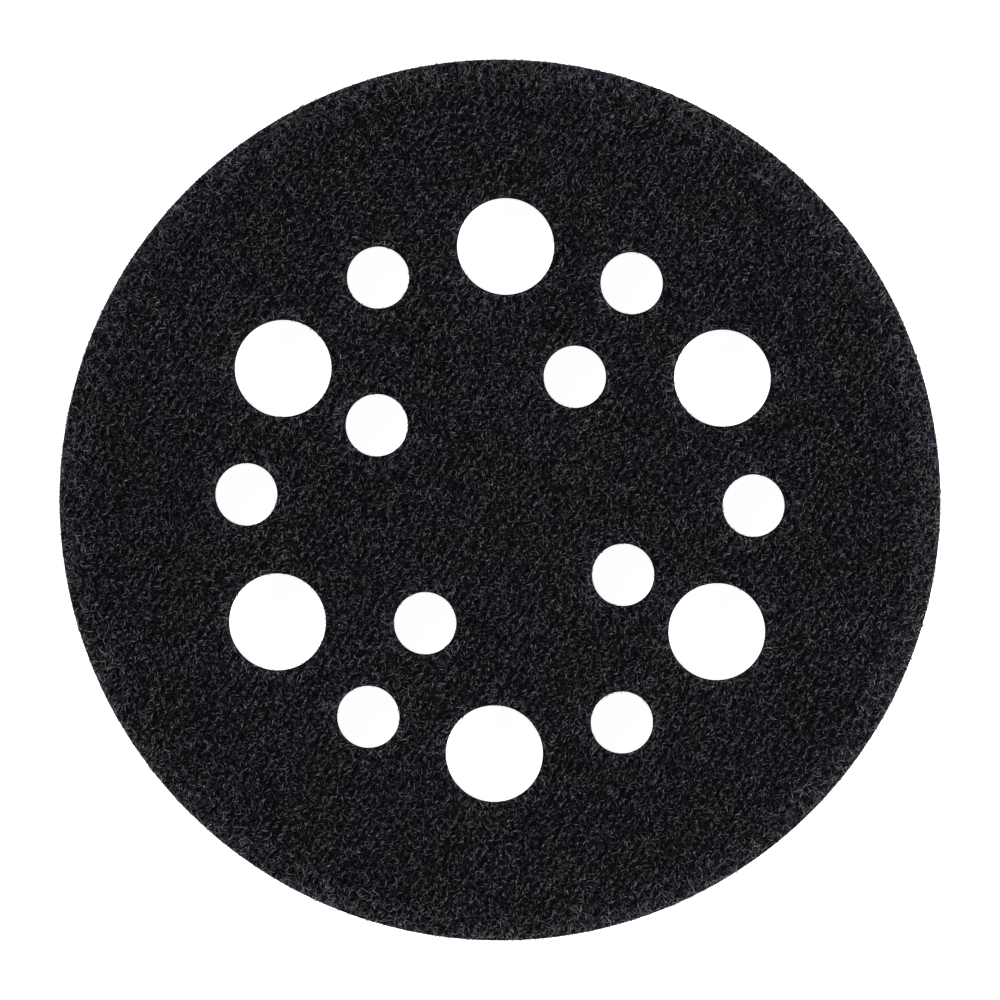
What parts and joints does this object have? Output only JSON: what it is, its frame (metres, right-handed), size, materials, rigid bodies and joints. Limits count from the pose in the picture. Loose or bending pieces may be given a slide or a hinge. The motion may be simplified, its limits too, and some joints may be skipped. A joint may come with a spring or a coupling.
{
  "type": "sander interface pad",
  "caption": "Soft round hook-and-loop interface pad for a random-orbit sander, with a black brushed loop face, a foam core, a hook face and dust holes through all layers.",
  "frame": {"origin": "centre of the hook face, where the hook tips touch the surface that the pad lies on", "axes": "+Z out of the loop face along the disc's axis; +X through the middle of an outer small dust hole; +Y through the middle of a large dust hole"},
  "size_m": [0.127, 0.127, 0.012],
  "materials": {
    "loop_pile": "black brushed nylon loop pile, matte with a faint cool sheen on single fibres",
    "loop_knit": "black warp-knitted nylon ground, matte",
    "adhesive": "thin hot-melt film, slightly glossy at the cut edge",
    "foam": "charcoal open-cell polyurethane foam, matte",
    "hook_tape": "black woven nylon tape, matte",
    "hook_yarn": "black nylon monofilament hooks, satin"
  },
  "bodies": {
    "root": {"hook_field": "hook_yarn", "hook_tape_ground": "hook_tape", "lower_adhesive_film": "adhesive", "foam_core": "foam", "upper_adhesive_film": "adhesive", "loop_ground_knit": "loop_knit", "loop_pile": "loop_pile"}
  },
  "joints": []
}
